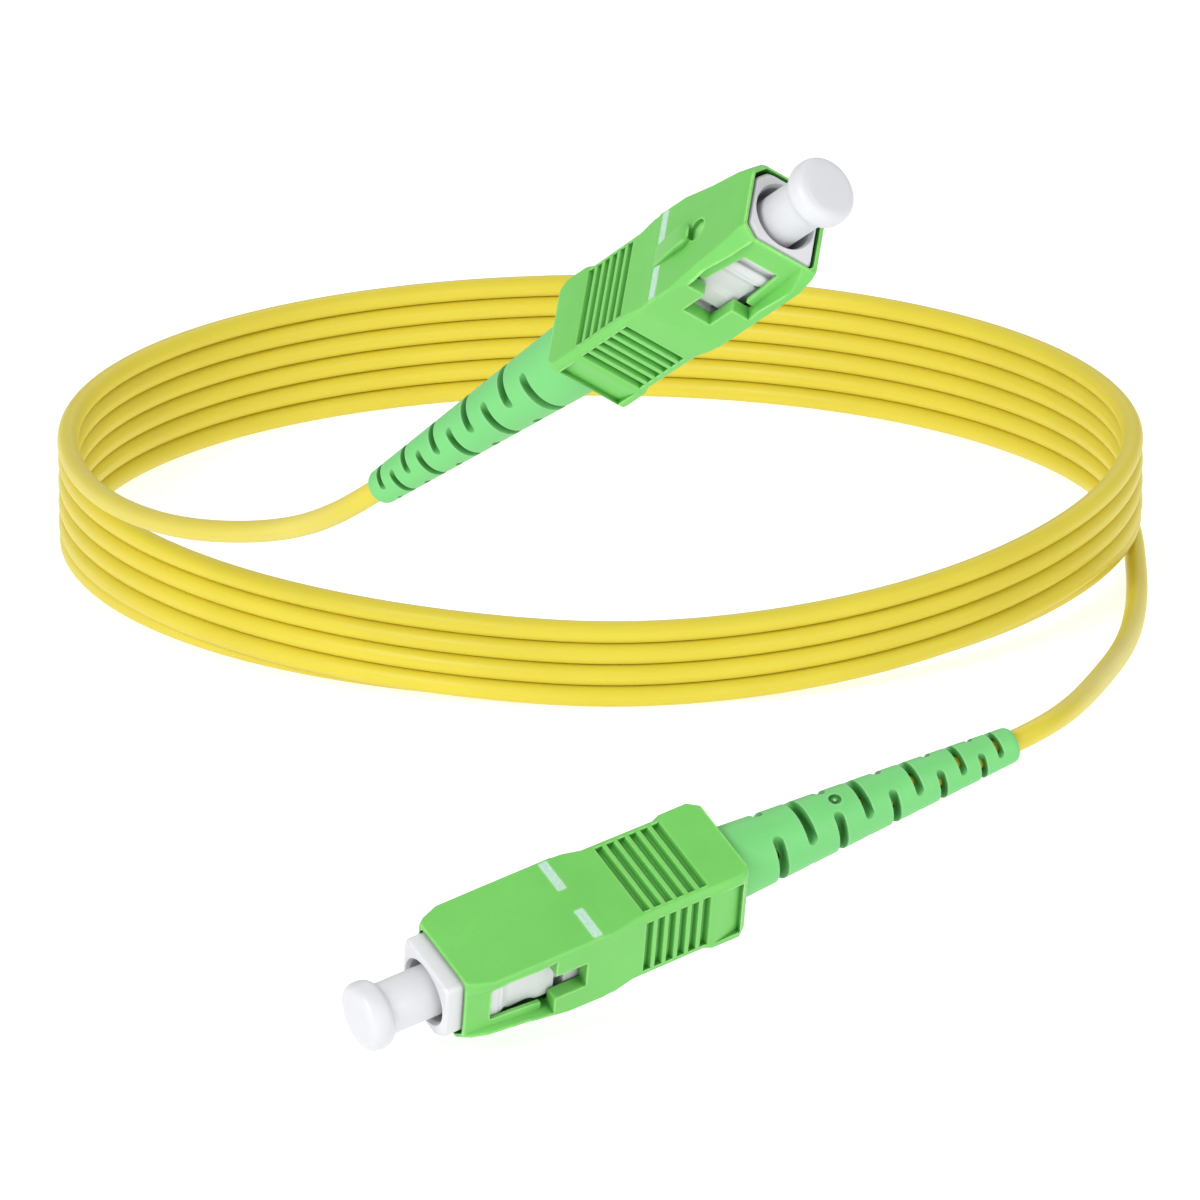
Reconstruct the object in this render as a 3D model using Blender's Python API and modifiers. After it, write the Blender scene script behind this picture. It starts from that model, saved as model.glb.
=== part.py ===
"""Simplex fiber optic patch cord: two push-pull square connectors with angled
ferrules on a coiled, jacketed single-fiber cord.

Frame: origin at the centre of the whole cord's footprint on the surface it
rests on, +Z up along the coil's axis, +X to the coil's right, -Y towards the
side the two connectors lie on. Lengths below are in millimetres. The cord's
layout is measured from the coil's own centre; FOOTPRINT_CENTRE is the frame's
origin in those coordinates.
Each connector is designed in its own frame: +X along the plug towards its
nose, +Z towards the keyed wide face, origin at the plug frame's nose.

In names, X0 and X1 are a feature's front and rear ends, HALF_W is a half width
along Y and HALF_H a half height along Z.
"""
import bpy
import bmesh
import math
from mathutils import Matrix, Vector

MM = 0.001
SIDES = (-1, 1)
TURN_STEPS = 16            # segments round a turned piece
OVERCUT = 1.0              # how far most cutters run past the surface they open

FOOTPRINT_CENTRE = Vector((0.0, -46.62575, 0.1206))

# grip_shift: where the grip rests along its travel; cap_shift: cap's place from full seat
CONNECTORS = {
    "a": dict(origin=(14.23, -110.61, 60.52), forward=(0.5941, -0.5583, 0.5791),
              key=(-0.7917, -0.2786, 0.5437), grip_shift=0.0, cap_shift=0.0),
    "b": dict(origin=(-13.553, -134.169, 5.451), forward=(-0.8555, -0.4660, -0.2258),
              key=(-0.0532, 0.5127, -0.8569), grip_shift=-1.5, cap_shift=0.4),
}

for old in list(bpy.data.objects):
    bpy.data.objects.remove(old, do_unlink=True)

parts = bpy.data.collections.new("fiber_optic_patch_cord")
cutters = bpy.data.collections.new("cutters")
bpy.context.scene.collection.children.link(parts)
bpy.context.scene.collection.children.link(cutters)


# ---------------------------------------------------------------- materials
# base colour, roughness, metallic
LOOKS = {
    "outer_grip": ((0.19, 0.64, 0.13), 0.35, 0.0),
    "strain_relief_boot": ((0.18, 0.62, 0.19), 0.5, 0.0),
    "plug_frame": ((0.83, 0.83, 0.85), 0.35, 0.0),
    "dust_cap": ((0.80, 0.80, 0.84), 0.25, 0.0),
    "ferrule": ((0.90, 0.89, 0.85), 0.12, 0.0),
    "ferrule_flange": ((0.72, 0.70, 0.64), 0.3, 1.0),
    "spring": ((0.55, 0.56, 0.57), 0.3, 1.0),
    "spring_retainer": ((0.60, 0.60, 0.60), 0.35, 1.0),
    "crimp_sleeve": ((0.66, 0.62, 0.55), 0.3, 1.0),
    "aramid_skirt": ((0.80, 0.68, 0.25), 0.8, 0.0),
    "guide_tube": ((0.85, 0.86, 0.88), 0.4, 0.0),
    "fiber_end": ((0.75, 0.80, 0.85), 0.05, 0.0),
    "cable_jacket": ((0.88, 0.74, 0.10), 0.4, 0.0),
    "aramid_layer": ((0.80, 0.68, 0.25), 0.8, 0.0),
    "buffered_fiber": ((0.85, 0.85, 0.82), 0.4, 0.0),
}


def paint(ob, look):
    """Give the object its own material, named after it."""
    colour, roughness, metallic = LOOKS[look]
    material = bpy.data.materials.new(ob.name)
    material.use_nodes = True
    shader = material.node_tree.nodes["Principled BSDF"]
    shader.inputs["Base Color"].default_value = (*colour, 1.0)
    shader.inputs["Roughness"].default_value = roughness
    shader.inputs["Metallic"].default_value = metallic
    ob.data.materials.append(material)


# ---------------------------------------------------------------- solids
def new_object(name, bm, collection):
    mesh = bpy.data.meshes.new(name)
    bm.normal_update()
    bm.to_mesh(mesh)
    bm.free()
    ob = bpy.data.objects.new(name, mesh)
    collection.objects.link(ob)
    return ob


def add_box(bm, x0, x1, y0, y1, z0, z1):
    size = Matrix.Diagonal((abs(x1 - x0) * MM, abs(y1 - y0) * MM, abs(z1 - z0) * MM, 1))
    mid = Matrix.Translation(((x0 + x1) / 2 * MM, (y0 + y1) / 2 * MM, (z0 + z1) / 2 * MM))
    bmesh.ops.create_cube(bm, size=1.0, matrix=mid @ size)


def box_cutter(name, boxes):
    """One cutter of several boxes, each x0, x1, y0, y1, z0, z1."""
    bm = bmesh.new()
    for box in boxes:
        add_box(bm, *box)
    return new_object(name, bm, cutters)


def loft(name, sections, collection):
    """Solid along X through chamfered rectangles: x, half width, half height,
    chamfer of the -Z corners, chamfer of the +Z corners."""
    bm = bmesh.new()
    rings = []
    for x, half_w, half_h, low, high in sections:
        outline = [(half_w - high, half_h), (half_w, half_h - high),
                   (half_w, -half_h + low), (half_w - low, -half_h),
                   (-half_w + low, -half_h), (-half_w, -half_h + low),
                   (-half_w, half_h - high), (-half_w + high, half_h)]
        rings.append([bm.verts.new((x * MM, y * MM, z * MM)) for y, z in outline])
    for ring, following in zip(rings, rings[1:]):
        for i in range(8):
            j = (i + 1) % 8
            bm.faces.new((ring[i], ring[j], following[j], following[i]))
    bm.faces.new(rings[0])
    bm.faces.new(rings[-1])
    bmesh.ops.recalc_face_normals(bm, faces=bm.faces)
    return new_object(name, bm, collection)


def turned(name, profile, collection, steps=TURN_STEPS, closed=True):
    """Screw of an (x, radius) outline, drawn with its axis on Z for placing with LAY.
    An outline that starts and ends on the axis is left open."""
    bm = bmesh.new()
    verts = [bm.verts.new((radius * MM, 0.0, x * MM)) for x, radius in profile]
    for start, end in zip(verts, verts[1:]):
        bm.edges.new((start, end))
    if closed:
        bm.edges.new((verts[-1], verts[0]))
    ob = new_object(name, bm, collection)
    screw = ob.modifiers.new("turn", "SCREW")
    screw.axis = "Z"
    screw.steps = steps
    screw.render_steps = steps
    screw.use_merge_vertices = True
    screw.merge_threshold = 0.00001
    screw.use_smooth_shade = True
    return ob


def sweep(name, points, radius, sides, caps, twist="Z_UP"):
    """Tube skin along a polyline, made a mesh."""
    curve = bpy.data.curves.new(name, "CURVE")
    curve.dimensions = "3D"
    curve.twist_mode = twist
    curve.bevel_depth = radius * MM
    curve.bevel_resolution = (sides - 4) // 2
    curve.use_fill_caps = caps
    spline = curve.splines.new("POLY")
    spline.points.add(len(points) - 1)
    for target, point in zip(spline.points, points):
        target.co = (*(point * MM), 1.0)
    guide = bpy.data.objects.new(name + "_path", curve)
    cutters.objects.link(guide)
    bpy.context.view_layer.update()
    depsgraph = bpy.context.evaluated_depsgraph_get()
    mesh = bpy.data.meshes.new_from_object(guide.evaluated_get(depsgraph))
    mesh.name = name
    bm = bmesh.new()
    bm.from_mesh(mesh)
    bmesh.ops.remove_doubles(bm, verts=bm.verts, dist=0.000005)
    bmesh.ops.recalc_face_normals(bm, faces=bm.faces)
    bm.to_mesh(mesh)
    bm.free()
    ob = bpy.data.objects.new(name, mesh)
    parts.objects.link(ob)
    bpy.data.objects.remove(guide, do_unlink=True)
    return ob


# ---------------------------------------------------------------- placing and cutting
# lays a turned piece's Z axis along the connector's X
LAY = Matrix(((0, 0, 1, 0), (1, 0, 0, 0), (0, 1, 0, 0), (0, 0, 0, 1)))


def place(ob, axis, shift=0.0, lay=False):
    """Parent to the connector's axis, moved along its X."""
    ob.parent = axis
    move = Matrix.Translation((shift * MM, 0, 0))
    ob.matrix_local = move @ LAY if lay else move
    return ob


def apply_tool(ob, tool, axis, shift=0.0, lay=False, operation="DIFFERENCE"):
    """Place a helper solid and combine it with the object."""
    tool.hide_render = True
    tool.display_type = "WIRE"
    modifier = ob.modifiers.new(tool.name, "BOOLEAN")
    modifier.operation = operation
    modifier.solver = "EXACT"
    modifier.object = tool
    place(tool, axis, shift, lay)


def make_axis(tag, origin, forward, key):
    """Empty holding a connector's pose; key is squared up against forward."""
    x = Vector(forward).normalized()
    z = Vector(key)
    z = (z - x * z.dot(x)).normalized()
    y = z.cross(x)
    pose = Matrix((x, y, z)).transposed().to_4x4()
    pose.translation = (Vector(origin) - FOOTPRINT_CENTRE) * MM
    axis = bpy.data.objects.new(f"connector_{tag}_axis", None)
    axis.matrix_world = pose
    parts.objects.link(axis)
    return axis


def on_axis(axis, x):
    """Point on a connector's axis, in millimetres in the cord's frame."""
    return (axis.matrix_world @ Vector((x * MM, 0, 0))) / MM


# ---------------------------------------------------------------- outer grip
GRIP_LEN = 25.2
GRIP_HALF_W, GRIP_HALF_H = 4.5, 3.7        # front block
WAIST_HALF_W, WAIST_HALF_H = 4.2, 3.5
WAIST_X0, WAIST_X1 = -13.9, -22.0
FLARE_HALF_W, FLARE_HALF_H = 4.4, 3.7
KEY_CHAMFER = 1.3                          # largest corner cut on the keyed face
MOUTH_CHAMFER = KEY_CHAMFER - 0.35
KEY_X0, KEY_X1, KEY_HALF_W, KEY_H = -7.35, -12.0, 1.05, 0.6
KEY_ROOT = 0.4                             # key's depth inside the block

CAVITY_HALF_W, CAVITY_HALF_H, CAVITY_STEP_X = 3.35, 3.3, -13.3
CAVITY_TAIL_HALF_H, CAVITY_X1 = 2.85, -18.9
REAR_BORE_R, REAR_MOUTH_R = 2.75, 3.3

RECESS_HALF_W, RECESS_HALF_H = 3.72, 2.7   # sunk flank in front of and around each window
RECESS_X0, RECESS_OVERCUT = 1.5, 1.2
WINDOW_X0, WINDOW_X1, WINDOW_HALF_H = -2.3, -7.6, 1.9
WINDOW_INNER_Y = CAVITY_HALF_W - 0.4
WINDOW_OUTER_Y = GRIP_HALF_W + OVERCUT
WINDOW_TAIL_X, WINDOW_TAIL_HALF_H = -10.4, 1.3   # narrow slot behind each window
WINDOW_TAIL_OVERLAP = 0.3
CORNER_LEN, CORNER_HALF_H = 0.75, 2.9      # notches above and below the window's rear end
CORNER_OVERLAP = 0.2
GROOVES, GROOVE_X, GROOVE_PITCH, GROOVE_W, GROOVE_DEPTH = 6, -16.2, 1.04, 0.45, 0.3
SIDE_GROOVE_HALF_H, FACE_GROOVE_HALF_W = 2.6, 3.5
FLARE_POCKET_X0, FLARE_POCKET_X1 = -22.9, -24.7
FLARE_POCKET_DEPTH, FLARE_POCKET_HALF_H = 0.35, 2.1

# x, half width, half height, chamfer of the plain face, chamfer of the keyed face
GRIP_SECTIONS = [
    (0.0, 3.6, 3.55, 0.15, MOUTH_CHAMFER),
    (-0.55, 3.95, GRIP_HALF_H, 0.15, KEY_CHAMFER - 0.1),
    (-2.0, GRIP_HALF_W, GRIP_HALF_H, 0.2, KEY_CHAMFER),
    (-5.5, GRIP_HALF_W, GRIP_HALF_H, 0.2, KEY_CHAMFER - 0.45),
    (-9.0, GRIP_HALF_W, GRIP_HALF_H, 0.2, 0.25),
    (WAIST_X0 + 0.3, GRIP_HALF_W, GRIP_HALF_H, 0.3, 0.3),
    (WAIST_X0, WAIST_HALF_W, WAIST_HALF_H, 0.3, 0.3),
    (WAIST_X1, WAIST_HALF_W, WAIST_HALF_H, 0.3, 0.3),
    (WAIST_X1 - 0.7, FLARE_HALF_W - 0.05, FLARE_HALF_H - 0.05, 0.35, 0.35),
    (-GRIP_LEN, FLARE_HALF_W, FLARE_HALF_H, 0.35, 0.35),
]
CAVITY_SECTIONS = [
    (x, CAVITY_HALF_W, CAVITY_HALF_H, 0.15, MOUTH_CHAMFER) for x in (1.0, CAVITY_STEP_X)]
# x, radius
REAR_BORE_PROFILE = [
    (CAVITY_X1 + 0.4, 0.0), (CAVITY_X1 + 0.4, REAR_BORE_R), (WAIST_X1, REAR_BORE_R),
    (WAIST_X1, REAR_MOUTH_R), (-GRIP_LEN - OVERCUT, REAR_MOUTH_R), (-GRIP_LEN - OVERCUT, 0.0)]


def grip_window_boxes():
    """Side windows, flare pockets and the grooves round the waist."""
    boxes = []
    for side in SIDES:
        boxes.append((WINDOW_X0, WINDOW_X1, WINDOW_INNER_Y * side, WINDOW_OUTER_Y * side,
                      -WINDOW_HALF_H, WINDOW_HALF_H))
        boxes.append((FLARE_POCKET_X0, FLARE_POCKET_X1,
                      (FLARE_HALF_W - FLARE_POCKET_DEPTH) * side,
                      (FLARE_HALF_W + OVERCUT) * side,
                      -FLARE_POCKET_HALF_H, FLARE_POCKET_HALF_H))
        for k in range(GROOVES):
            x = GROOVE_X - GROOVE_PITCH * k
            ends = (x - GROOVE_W / 2, x + GROOVE_W / 2)
            boxes.append((*ends, (WAIST_HALF_W - GROOVE_DEPTH) * side,
                          (WAIST_HALF_W + OVERCUT) * side,
                          -SIDE_GROOVE_HALF_H, SIDE_GROOVE_HALF_H))
            boxes.append((*ends, -FACE_GROOVE_HALF_W, FACE_GROOVE_HALF_W,
                          (WAIST_HALF_H - GROOVE_DEPTH) * side,
                          (WAIST_HALF_H + OVERCUT) * side))
    return boxes


def grip_notch_boxes():
    """Slot behind each window and the notches at its rear corners."""
    boxes = []
    for side in SIDES:
        across = (WINDOW_INNER_Y * side, WINDOW_OUTER_Y * side)
        boxes.append((WINDOW_X1 + WINDOW_TAIL_OVERLAP, WINDOW_TAIL_X, *across,
                      -WINDOW_TAIL_HALF_H, WINDOW_TAIL_HALF_H))
        for end in SIDES:
            boxes.append((WINDOW_X1 + CORNER_LEN, WINDOW_X1, *across,
                          (WINDOW_HALF_H - CORNER_OVERLAP) * end, CORNER_HALF_H * end))
    return boxes


def build_grip(name, axis, shift):
    ob = loft(name, GRIP_SECTIONS, parts)
    key = box_cutter(name + "_key", [
        (KEY_X0, KEY_X1, -KEY_HALF_W, KEY_HALF_W, GRIP_HALF_H - KEY_ROOT, GRIP_HALF_H + KEY_H)])
    apply_tool(ob, key, axis, shift, operation="UNION")
    apply_tool(ob, loft(name + "_cavity", CAVITY_SECTIONS, cutters), axis, shift)
    flank = box_cutter(name + "_flank", [
        (WINDOW_X1, RECESS_X0, RECESS_HALF_W * side, (GRIP_HALF_W + RECESS_OVERCUT) * side,
         -RECESS_HALF_H, RECESS_HALF_H) for side in SIDES])
    apply_tool(ob, flank, axis, shift)
    tail = box_cutter(name + "_tail_cavity", [
        (CAVITY_X1, CAVITY_STEP_X + 0.5, -CAVITY_HALF_W, CAVITY_HALF_W,
         -CAVITY_TAIL_HALF_H, CAVITY_TAIL_HALF_H)])
    apply_tool(ob, tail, axis, shift)
    rear = turned(name + "_rear_bore", REAR_BORE_PROFILE, cutters, closed=False)
    apply_tool(ob, rear, axis, shift, lay=True)
    apply_tool(ob, box_cutter(name + "_windows", grip_window_boxes()), axis, shift)
    apply_tool(ob, box_cutter(name + "_notches", grip_notch_boxes()), axis, shift)
    return place(ob, axis, shift)


# ---------------------------------------------------------------- plug frame
FRAME_LEN, FRAME_HALF_W, FRAME_HALF_H, FRAME_CHAMFER = 17.0, 3.2, 3.1, 1.05
FRAME_STEP_X, FRAME_TAIL_HALF_H = -12.6, 2.65
FRAME_BORE_R, FRAME_ROOM_R = 2.6, 2.3      # in front of and behind the inner wall
WALL_X0, WALL_X1, WALL_HOLE_R = -5.3, -5.8, 1.5
FLANK_X0, FLANK_X1, FLANK_HALF_W, PAD_HALF_H = -3.15, -10.6, 2.3, 2.05  # cut-away corners
DENT_X1, DENT_DEPTH, DENT_HALF_H = -3.8, 0.3, 1.9    # shallow pocket in each side
TAIL_SLOT_X, TAIL_SLOT_INNER_Y, TAIL_SLOT_HALF_H = -14.6, 1.9, 0.9

# x, half width, half height, chamfer of the plain face, chamfer of the keyed face
FRAME_SECTIONS = [
    (0.0, FRAME_HALF_W - 0.2, FRAME_HALF_H - 0.18, 0.28, FRAME_CHAMFER),
    (-0.4, FRAME_HALF_W, FRAME_HALF_H, 0.25, FRAME_CHAMFER),
    (FRAME_STEP_X, FRAME_HALF_W, FRAME_HALF_H, 0.25, FRAME_CHAMFER),
    (FRAME_STEP_X - 0.3, FRAME_HALF_W, FRAME_TAIL_HALF_H, 0.6, 0.6),
    (-FRAME_LEN, FRAME_HALF_W, FRAME_TAIL_HALF_H, 0.6, 0.6),
]
# x, radius
FRAME_BORE_PROFILE = [
    (OVERCUT, 0.0), (OVERCUT, FRAME_BORE_R), (WALL_X0, FRAME_BORE_R), (WALL_X0, WALL_HOLE_R),
    (WALL_X1, WALL_HOLE_R), (WALL_X1, FRAME_ROOM_R), (-FRAME_LEN - OVERCUT, FRAME_ROOM_R),
    (-FRAME_LEN - OVERCUT, 0.0)]


def frame_pocket_boxes():
    """Cut-away corners, side pockets and tail slots."""
    boxes = []
    for side in SIDES:
        outer_y = (FRAME_HALF_W + OVERCUT) * side
        for end in SIDES:
            boxes.append((FLANK_X0, FLANK_X1, FLANK_HALF_W * side, outer_y,
                          PAD_HALF_H * end, (FRAME_HALF_H + OVERCUT) * end))
        boxes.append((FLANK_X0 + 0.05, DENT_X1, (FRAME_HALF_W - DENT_DEPTH) * side, outer_y,
                      -DENT_HALF_H, DENT_HALF_H))
        boxes.append((TAIL_SLOT_X, -FRAME_LEN - OVERCUT, TAIL_SLOT_INNER_Y * side, outer_y,
                      -TAIL_SLOT_HALF_H, TAIL_SLOT_HALF_H))
    return boxes


def build_frame(name, axis):
    ob = loft(name, FRAME_SECTIONS, parts)
    bore = turned(name + "_bore", FRAME_BORE_PROFILE, cutters, closed=False)
    apply_tool(ob, bore, axis, lay=True)
    apply_tool(ob, box_cutter(name + "_pockets", frame_pocket_boxes()), axis)
    return place(ob, axis)


# ---------------------------------------------------------------- strain relief boot
BOOT_X0, BOOT_X1 = -24.1, -53.3
BOOT_R0, BOOT_R1 = 3.05, 1.42
BOOT_TAPER_X = -26.2                       # where the taper starts
SLOT_RINGS, SLOT_X, SLOT_STEP, SLOT_STEP_LOSS = 10, -30.8, 2.90, 0.15
SLOT_W0, SLOT_W1 = 0.90, 0.55              # widths of the first and last slots
SLOT_BRIDGE = 0.42                         # bridge half width over the radius there


def boot_radius(x):
    t = min(max((BOOT_TAPER_X - x) / (BOOT_TAPER_X - BOOT_X1), 0.0), 1.0)
    return BOOT_R0 + (BOOT_R1 - BOOT_R0) * t


def boot_slot_boxes():
    """Pairs of slots, alternately in the sides and in the wide faces, closing up rearwards."""
    boxes = []
    x, step = SLOT_X, SLOT_STEP
    for k in range(SLOT_RINGS):
        width = SLOT_W0 + (SLOT_W1 - SLOT_W0) * k / (SLOT_RINGS - 1)
        along = (x - width / 2, x + width / 2)
        radius = boot_radius(x)
        edge, far = SLOT_BRIDGE * radius, radius + OVERCUT
        for side in SIDES:
            radial, across = (edge * side, far * side), (-far, far)
            boxes.append((*along, *radial, *across) if k % 2 == 0
                         else (*along, *across, *radial))
        x -= step
        step -= SLOT_STEP_LOSS
    return boxes


def build_boot(name, axis):
    ob = turned(name, [
        (BOOT_X0, BOOT_R0 - 0.15), (BOOT_X0 - 0.3, BOOT_R0), (BOOT_TAPER_X, BOOT_R0),
        (BOOT_X1 + 0.25, boot_radius(BOOT_X1 + 0.25)), (BOOT_X1, BOOT_R1 - 0.2),
        (BOOT_X1, 1.05), (-33.5, 1.15), (-28.6, 1.65), (-27.6, 2.4), (BOOT_X0, 2.45),
    ], parts)
    apply_tool(ob, box_cutter(name + "_slots", boot_slot_boxes()), axis)
    return place(ob, axis, lay=True)


# ---------------------------------------------------------------- spring
SPRING_R, SPRING_WIRE_R = 1.68, 0.2
SPRING_TURNS, SPRING_STEPS_PER_TURN = 5, 12
SPRING_X0, SPRING_X1 = -10.1, -15.6


def build_spring(name, axis):
    steps = SPRING_STEPS_PER_TURN * SPRING_TURNS
    points = []
    for i in range(steps + 1):
        angle = 2 * math.pi * SPRING_TURNS * i / steps
        x = SPRING_X0 + (SPRING_X1 - SPRING_X0) * i / steps
        points.append(Vector((x, SPRING_R * math.cos(angle), SPRING_R * math.sin(angle))))
    # the wire stands upright twice a turn, so its section follows the least twist
    ob = sweep(name, points, SPRING_WIRE_R, sides=6, caps=True, twist="MINIMUM")
    return place(ob, axis)


# ---------------------------------------------------------------- dust cap
CAP_HEAD_R, CAP_NECK_R, CAP_BORE_R = 2.8, 2.1, 1.32

# x, radius: round head, neck, blind bore that grips the ferrule
CAP_PROFILE = [
    (5.6, 0.0), (5.6, CAP_HEAD_R - 0.6), (5.42, CAP_HEAD_R - 0.2), (5.05, CAP_HEAD_R),
    (4.05, CAP_HEAD_R), (3.68, CAP_HEAD_R - 0.2), (3.45, CAP_NECK_R), (-3.0, CAP_NECK_R),
    (-3.0, CAP_BORE_R), (3.0, CAP_BORE_R), (3.0, 0.0)]


def build_cap(name, axis, shift):
    return place(turned(name, CAP_PROFILE, parts, closed=False), axis, shift, lay=True)


# ---------------------------------------------------------------- ferrule
FERRULE_R, FERRULE_BORE_R = 1.25, 0.14
FERRULE_X0, FERRULE_X1 = 1.8, -8.7
CONTACT_DEG = 8.0
GRIND_LEN, GRIND_HALF = 4.0, 3.0

# x, radius: the front runs past FERRULE_X0 and is ground back
FERRULE_PROFILE = [
    (FERRULE_X0 + 0.2, 1.02), (FERRULE_X0 - 0.3, FERRULE_R), (FERRULE_X1 + 0.2, FERRULE_R),
    (FERRULE_X1, FERRULE_R - 0.12), (FERRULE_X1, FERRULE_BORE_R),
    (FERRULE_X0 + 0.2, FERRULE_BORE_R)]


def build_ferrule(name, axis):
    """Ceramic rod with a fine bore, its end ground at the contact angle."""
    ob = turned(name, FERRULE_PROFILE, parts)
    bm = bmesh.new()
    add_box(bm, 0.0, GRIND_LEN, -GRIND_HALF, GRIND_HALF, -GRIND_HALF, GRIND_HALF)
    bmesh.ops.rotate(bm, verts=bm.verts, cent=(0, 0, 0),
                     matrix=Matrix.Rotation(math.radians(CONTACT_DEG), 3, "Y"))
    bmesh.ops.translate(bm, verts=bm.verts, vec=(FERRULE_X0 * MM, 0, 0))
    apply_tool(ob, new_object(name + "_grind", bm, cutters), axis)
    return place(ob, axis, lay=True)


# ---------------------------------------------------------------- plain turned pieces
FLANGE_R = 2.15
TUBE_X0, TUBE_X1, TUBE_R, TUBE_BORE_R = -9.4, -20.5, 0.52, 0.38
FIBER_X0, FIBER_X1, FIBER_R = FERRULE_X0 - 0.2, -8.6, 0.0625

# (x, radius) outline, segments, whether the outline closes on itself
TURNED_PIECES = {
    "ferrule_flange": ([
        (-5.95, 1.9), (-6.2, FLANGE_R), (-9.7, FLANGE_R), (-9.7, 1.22), (-12.5, 1.22),
        (-12.5, 0.58), (-8.85, 0.58), (-8.85, 1.29), (-5.95, 1.29)], TURN_STEPS, True),
    "guide_tube": ([
        (TUBE_X0, TUBE_R), (TUBE_X1, TUBE_R), (TUBE_X1, TUBE_BORE_R),
        (TUBE_X0, TUBE_BORE_R)], 12, True),
    "fiber_end": ([
        (FIBER_X0, 0.0), (FIBER_X0, FIBER_R), (FIBER_X1, FIBER_R), (FIBER_X1, 0.0)], 6, False),
    # seats in the frame's tail, carries the spring and the crimp
    "spring_retainer": ([
        (-15.85, 2.15), (-17.15, 2.15), (-17.15, 2.5), (-18.3, 2.5), (-18.3, 1.65),
        (-23.5, 1.65), (-23.5, 0.8), (-15.85, 0.8)], TURN_STEPS, True),
    "aramid_skirt": ([
        (-18.9, 1.93), (-23.6, 1.93), (-24.6, 0.66), (-24.6, 0.44), (-23.75, 1.5),
        (-23.75, 1.72), (-18.9, 1.72)], TURN_STEPS, True),
    "crimp_sleeve": ([
        (-18.7, 2.22), (-24.0, 2.22), (-24.9, 1.32), (-28.2, 1.32), (-28.2, 1.02),
        (-25.0, 1.02), (-24.1, 2.02), (-18.7, 2.02)], TURN_STEPS, True),
}


def build_connector(tag, axis, grip_shift, cap_shift):
    made = {
        "outer_grip": build_grip("outer_grip_" + tag, axis, grip_shift),
        "plug_frame": build_frame("plug_frame_" + tag, axis),
        "strain_relief_boot": build_boot("strain_relief_boot_" + tag, axis),
        "spring": build_spring("spring_" + tag, axis),
        "dust_cap": build_cap("dust_cap_" + tag, axis, cap_shift),
        "ferrule": build_ferrule("ferrule_" + tag, axis),
    }
    for piece, (profile, steps, closed) in TURNED_PIECES.items():
        ob = turned(f"{piece}_{tag}", profile, parts, steps, closed)
        made[piece] = place(ob, axis, lay=True)
    for look, ob in made.items():
        paint(ob, look)


# ---------------------------------------------------------------- cord path
COIL_R = 45.0              # radius of the coil's centreline
COIL_PITCH = 1.82          # one lap stacked on the next
COIL_Z0 = 0.90             # centreline height of the lowest lap
LAPS = 6                   # laps stacked at the back of the coil
STEPS_PER_TURN = 16
CORD_IN_BOOT = 8.0         # straight run inside each boot's rear end

# waypoints between coil and connectors, from the coil's centre
MID_A, MID_A_HANDLE = (-30.6, -52.7, 17.4), Vector((7.6, -13.6, 3.95))
COIL_START_HANDLE = Vector((0.0, -16.0, 0.0))
COIL_LEAVE = (COIL_R, -8.0, COIL_Z0)
LEAVE_HANDLES = (44.6, -28.0, COIL_Z0), (42.8, -51.0, 8.0)
MID_B, MID_B_HANDLE = (41.4, -71.0, 12.6), (39.0, -89.0, 16.9)
BOOT_REACH_A, BOOT_REACH_B = 7.0, 9.0      # curve handle lengths behind the boots


def from_coil(point):
    """Point measured from the coil's centre, in the cord's frame."""
    return Vector(point) - FOOTPRINT_CENTRE


def bezier(p0, p1, p2, p3, steps):
    """Points along a cubic, without its first."""
    points = []
    for i in range(1, steps + 1):
        t = i / steps
        u = 1 - t
        points.append(p0 * u ** 3 + p1 * 3 * u * u * t + p2 * 3 * u * t * t + p3 * t ** 3)
    return points


def ease(t):
    return t * t * (3 - 2 * t)


def coil_point(lap, deg):
    """Lap 0 is the top one; deg 0 at the left end, 90 at the back, 180 right, 270 front."""
    angle = math.radians(deg)
    radius, z = COIL_R, COIL_Z0 + (LAPS - 1 - lap) * COIL_PITCH
    if deg > 180:
        down = ease(min((deg - 180) / 90, 1.0))
        up = math.sin(math.radians(max(deg - 270, 0)))
        if lap != LAPS - 2:
            # dips two pitches at the front, comes back up one
            z = z - 2 * COIL_PITCH * down + COIL_PITCH * up
        else:
            # slips inside the lap before it, one pitch away, down to the surface
            rise = COIL_PITCH * (1 - down)
            z = COIL_Z0 + rise
            if deg <= 270:
                radius = COIL_R - math.sqrt(max(COIL_PITCH ** 2 - rise ** 2, 0.0))
            else:
                radius = COIL_R - COIL_PITCH * math.cos(math.radians(deg - 270))
    return from_coil((-radius * math.cos(angle), radius * math.sin(angle), z))


def coil_points():
    """All laps after the start point; the last one stops at the right end."""
    points = []
    for lap in range(LAPS):
        for i in range(1, STEPS_PER_TURN + 1):
            deg = 360 / STEPS_PER_TURN * i
            if lap == LAPS - 1 and deg > 180:
                break
            points.append(coil_point(lap, deg))
    return points


def rearward(axis):
    return -(axis.matrix_world.to_3x3() @ Vector((1, 0, 0)))


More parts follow.
